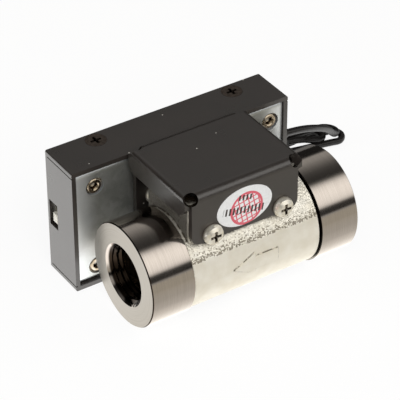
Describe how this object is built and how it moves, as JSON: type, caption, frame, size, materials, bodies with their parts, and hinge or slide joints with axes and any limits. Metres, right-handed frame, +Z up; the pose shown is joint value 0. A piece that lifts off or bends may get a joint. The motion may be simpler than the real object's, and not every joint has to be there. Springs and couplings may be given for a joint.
{
  "type": "turbine flow meter",
  "caption": "Inline turbine flow meter: a threaded metal pipe body with a bladed rotor inside, a bent black bracket over its sensor and a slim display box behind",
  "frame": {"origin": "middle of the footprint on the surface that the meter stands on, the output cable left out", "axes": "+X runs upstream along the pipe towards the inlet port, +Y goes back to the display box, +Z is up"},
  "size_m": [0.0809, 0.0501, 0.0317],
  "materials": {
    "collar_metal": "turned, black nickel plated, satin",
    "body_metal": "cast, blasted and nickel plated",
    "seal_rubber": "moulded, matte",
    "guide_plastic": "moulded acetal",
    "bearing_metal": "turned bronze",
    "shaft_steel": "polished steel",
    "rotor_plastic": "moulded acetal",
    "magnet_metal": "sintered ferrite",
    "board_green": "solder mask",
    "chip_plastic": "moulded epoxy",
    "socket_plastic": "moulded nylon",
    "cable_jacket": "soft black jacket with a slight sheen",
    "gasket_foam": "closed-cell foam",
    "black_coat": "black powder coat, satin",
    "screw_nickel": "bright nickel plate",
    "standoff_steel": "zinc-nickel plated steel",
    "sticker_paper": "white film with a red ring",
    "plate_steel": "galvanised sheet, grey",
    "frame_plastic": "moulded, black",
    "window_smoke": "smoked red acrylic",
    "led_face": "moulded block with digit windows",
    "switch_case": "tin-plated can",
    "switch_white": "moulded white",
    "screw_black": "blackened steel",
    "tie_coat": "plastic-coated wire",
    "plug_plastic": "moulded nylon"
  },
  "bodies": {
    "meter": {"outlet_collar": "collar_metal", "inlet_collar": "collar_metal", "meter_body": "body_metal", "outlet_seal": "seal_rubber", "inlet_seal": "seal_rubber", "outlet_straightener": "guide_plastic", "inlet_straightener": "guide_plastic", "outlet_bush": "bearing_metal", "inlet_bush": "bearing_metal", "sensor_board": "board_green", "display_board": "board_green", "hall_sensor": "chip_plastic", "controller_chip": "chip_plastic", "sensor_plug": "socket_plastic", "cable_socket": "socket_plastic", "sensor_lead": "cable_jacket", "output_cable": "cable_jacket", "cable_tail": "cable_jacket", "cable_hank": "cable_jacket", "lead_grommet": "seal_rubber", "cable_grommet": "seal_rubber", "boss_gasket": "gasket_foam", "sensor_bracket": "black_coat", "display_housing": "black_coat", "bracket_ear_screws": "screw_nickel", "bracket_rear_screws": "screw_nickel", "board_screws": "screw_nickel", "clinch_nuts": "standoff_steel", "plate_standoffs": "standoff_steel", "ear_sticker": "sticker_paper", "back_plate": "plate_steel", "display_frame": "frame_plastic", "display_window": "window_smoke", "led_module": "led_face", "switch_body": "switch_case", "housing_screws": "screw_black", "hank_tie": "tie_coat", "cable_plug": "plug_plastic"},
    "rotor": {"turbine_rotor": "rotor_plastic", "rotor_shaft": "shaft_steel", "rotor_magnet": "magnet_metal"},
    "knob": {"switch_knob": "switch_white"}
  },
  "joints": [
    {"name": "rotor_spin", "type": "hinge", "parent": "meter", "child": "rotor", "pos_m": [0.0018, -0.00647, 0.0115], "axis": [1, 0, 0], "continuous": true},
    {"name": "switch_slide", "type": "slide", "parent": "meter", "child": "knob", "axis": [0, 0, 1], "range_m": [0, 0.002]}
  ]
}
